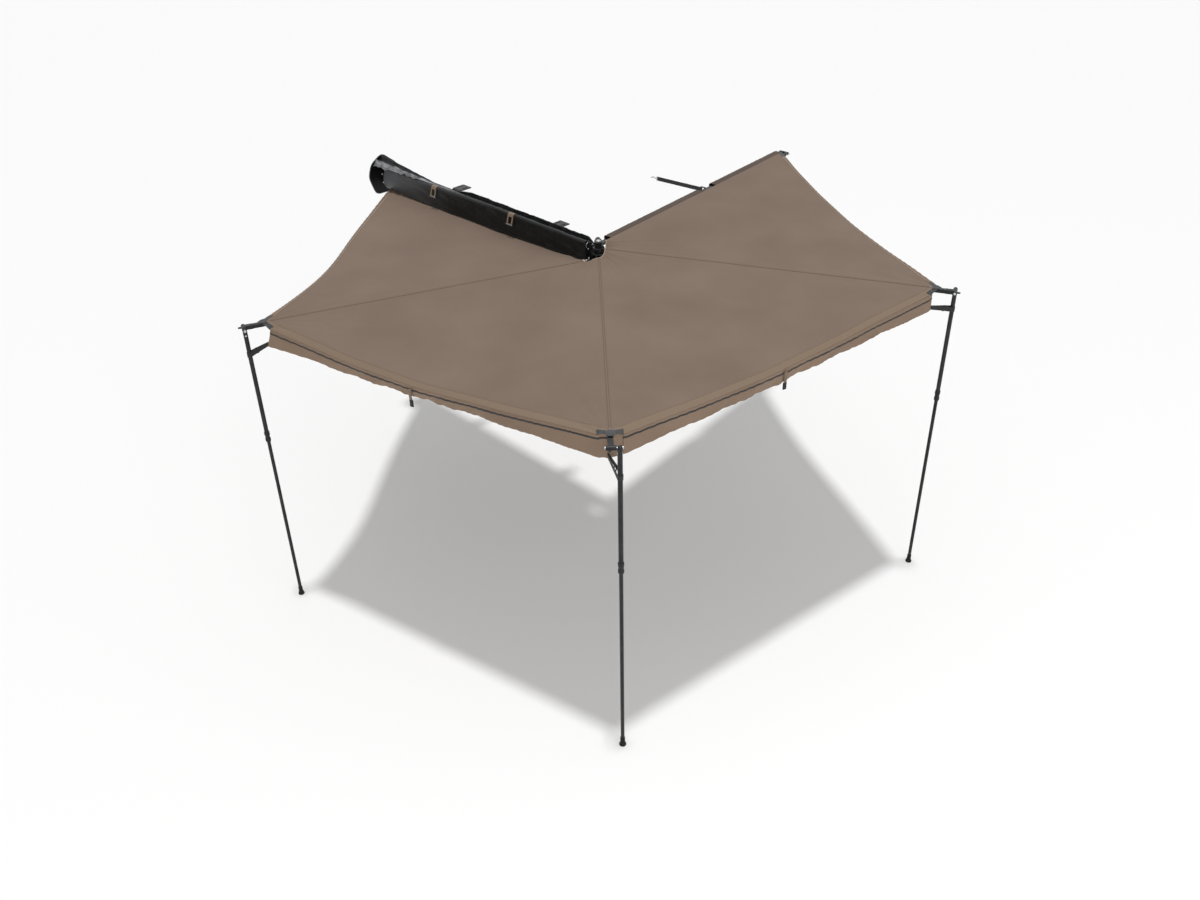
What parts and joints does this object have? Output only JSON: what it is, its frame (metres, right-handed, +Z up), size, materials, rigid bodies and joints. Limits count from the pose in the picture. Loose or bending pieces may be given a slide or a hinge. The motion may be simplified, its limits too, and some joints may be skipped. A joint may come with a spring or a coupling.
{
  "type": "vehicle side awning",
  "caption": "Fan awning for a vehicle's roof bars: rafters swing out from one pin on a backing bar and carry a canopy with telescopic legs.",
  "frame": {"origin": "middle of the rear bracket's foot, on the face that rests on the roof bar", "axes": "+X along the backing bar away from the rafters' pin, +Y away from the vehicle, +Z up"},
  "size_m": [3.7097, 3.7893, 1.8512],
  "materials": {
    "powder_coat": "satin black powder coat on steel",
    "coated_alloy": "satin black powder coat on aluminium",
    "steel": "bright zinc plate",
    "nylon": "moulded glass-filled nylon",
    "anodised": "dark grey anodised",
    "rubber": "moulded",
    "pvc": "PVC-coated fabric, semi-matt",
    "webbing": "woven black webbing",
    "taupe_webbing": "woven taupe webbing",
    "canvas": "taupe ripstop canvas"
  },
  "bodies": {
    "root": {"backing_bar": "coated_alloy", "bar_end_cap": "nylon", "rear_bracket": "powder_coat", "front_bracket": "powder_coat", "rear_bracket_studs": "steel", "front_bracket_studs": "steel", "hub_bracket": "powder_coat", "hub_bolt_1": "steel", "hub_bolt_2": "steel", "hub_bolt_3": "steel", "hub_pin": "steel", "bag_end_panel": "pvc"},
    "cover": {"bag_cover": "pvc", "bag_strap_rear": "taupe_webbing", "bag_strap_front": "taupe_webbing"},
    "arm_a": {"hub_knuckle_a": "coated_alloy", "rafter_a": "coated_alloy", "tip_knuckle_a": "nylon", "pivot_bolt_a": "steel", "panel_bar_a": "canvas", "leg_strap_a": "webbing"},
    "arm_b": {"hub_knuckle_b": "coated_alloy", "rafter_b": "coated_alloy", "tip_knuckle_b": "nylon", "pivot_bolt_b": "steel", "panel_a_b": "canvas", "valance_a_b": "canvas", "leg_strap_b": "webbing"},
    "arm_c": {"hub_knuckle_c": "coated_alloy", "rafter_c": "coated_alloy", "tip_knuckle_c": "nylon", "pivot_bolt_c": "steel", "panel_b_c": "canvas", "valance_b_c": "canvas", "leg_strap_c": "webbing"},
    "arm_d": {"hub_knuckle_d": "coated_alloy", "rafter_d": "coated_alloy", "tip_knuckle_d": "nylon", "pivot_bolt_d": "steel", "panel_c_d": "canvas", "rafter_sleeve_d": "canvas", "tie_bracket": "powder_coat"},
    "leg_a": {"leg_upper_a": "anodised"},
    "collar_a": {"leg_collar_a": "nylon"},
    "tube_a": {"leg_inner_a": "anodised", "leg_foot_a": "rubber"},
    "leg_b": {"leg_upper_b": "anodised"},
    "collar_b": {"leg_collar_b": "nylon"},
    "tube_b": {"leg_inner_b": "anodised", "leg_foot_b": "rubber"},
    "leg_c": {"leg_upper_c": "anodised"},
    "collar_c": {"leg_collar_c": "nylon"},
    "tube_c": {"leg_inner_c": "anodised", "leg_foot_c": "rubber"},
    "leg_d": {"leg_upper_d": "anodised"},
    "collar_d": {"leg_collar_d": "nylon"},
    "tube_d": {"leg_inner_d": "anodised", "leg_foot_d": "rubber"},
    "tie": {"tie_strap": "webbing", "tie_hook": "steel"}
  },
  "joints": [
    {"name": "arm_a_swing", "type": "hinge", "parent": "root", "child": "arm_a", "pos_m": [-0.46, 0.1338, -0.045], "axis": [0, 0, 1], "range_deg": [-69, 0], "deforming": ["panel_bar_a"]},
    {"name": "arm_b_swing", "type": "hinge", "parent": "arm_a", "child": "arm_b", "pos_m": [-0.46, 0.1338, -0.015], "axis": [0, 0, 1], "range_deg": [-68, 0], "deforming": ["panel_a_b", "valance_a_b"]},
    {"name": "arm_c_swing", "type": "hinge", "parent": "arm_b", "child": "arm_c", "pos_m": [-0.46, 0.1338, 0.015], "axis": [0, 0, 1], "range_deg": [-69.5, 0], "deforming": ["panel_b_c", "valance_b_c"]},
    {"name": "arm_d_swing", "type": "hinge", "parent": "arm_c", "child": "arm_d", "pos_m": [-0.46, 0.1338, 0.045], "axis": [0, 0, 1], "range_deg": [-70.5, 0], "deforming": ["panel_c_d"]},
    {"name": "leg_a_fold", "type": "hinge", "parent": "arm_a", "child": "leg_a", "pos_m": [0.22628, 1.92161, -0.045], "axis": [0.9336, -0.3584, 0], "range_deg": [-89, 0], "deforming": ["leg_strap_a"]},
    {"name": "tube_a_slide", "type": "slide", "parent": "leg_a", "child": "tube_a", "axis": [0, 0, -1], "range_m": [-0.418, 0.097]},
    {"name": "collar_a_twist", "type": "hinge", "parent": "leg_a", "child": "collar_a", "pos_m": [0.19267, 1.93451, -0.655], "axis": [0, 0, -1], "range_deg": [0, 75]},
    {"name": "leg_b_fold", "type": "hinge", "parent": "arm_b", "child": "leg_b", "pos_m": [-1.8898, 1.46711, -0.015], "axis": [0.682, 0.7314, 0], "range_deg": [-89, 0], "deforming": ["leg_strap_b"]},
    {"name": "tube_b_slide", "type": "slide", "parent": "leg_b", "child": "tube_b", "axis": [0, 0, -1], "range_m": [-0.448, 0.067]},
    {"name": "collar_b_twist", "type": "hinge", "parent": "leg_b", "child": "collar_b", "pos_m": [-1.91435, 1.44078, -0.625], "axis": [0, 0, -1], "range_deg": [0, 75]},
    {"name": "leg_c_fold", "type": "hinge", "parent": "arm_c", "child": "leg_c", "pos_m": [-2.14695, -0.70728, 0.015], "axis": [-0.4462, 0.8949, 0], "range_deg": [-89, 0], "deforming": ["leg_strap_c"]},
    {"name": "tube_c_slide", "type": "slide", "parent": "leg_c", "child": "tube_c", "axis": [0, 0, -1], "range_m": [-0.478, 0.037]},
    {"name": "collar_c_twist", "type": "hinge", "parent": "leg_c", "child": "collar_c", "pos_m": [-2.13089, -0.7395, -0.595], "axis": [0, 0, -1], "range_deg": [0, 75]},
    {"name": "leg_d_fold", "type": "hinge", "parent": "arm_d", "child": "leg_d", "pos_m": [-0.22114, -1.81159, 0.045], "axis": [-0.9925, -0.1219, 0], "range_deg": [0, 90]},
    {"name": "tube_d_slide", "type": "slide", "parent": "leg_d", "child": "tube_d", "axis": [-0.1219, 0.9925, 0], "range_m": [0, 0.515]},
    {"name": "collar_d_twist", "type": "hinge", "parent": "leg_d", "child": "collar_d", "pos_m": [-0.33121, -1.21053, 0.045], "axis": [-0.1219, 0.9925, 0], "range_deg": [0, 75]},
    {"name": "cover_lift", "type": "hinge", "parent": "root", "child": "cover", "pos_m": [0.54, 0.0528, -0.00475], "axis": [-1, 0, 0], "range_deg": [-66, 0]},
    {"name": "tie_strap_swing", "type": "hinge", "parent": "arm_d", "child": "tie", "pos_m": [-0.29112, -0.91342, 0.045], "axis": [0, 0, 1], "range_deg": [-90, 0]}
  ],
  "couplings": [
    {"joint": "cover_lift", "follows": "arm_a_swing", "ratio": 0.95}
  ]
}
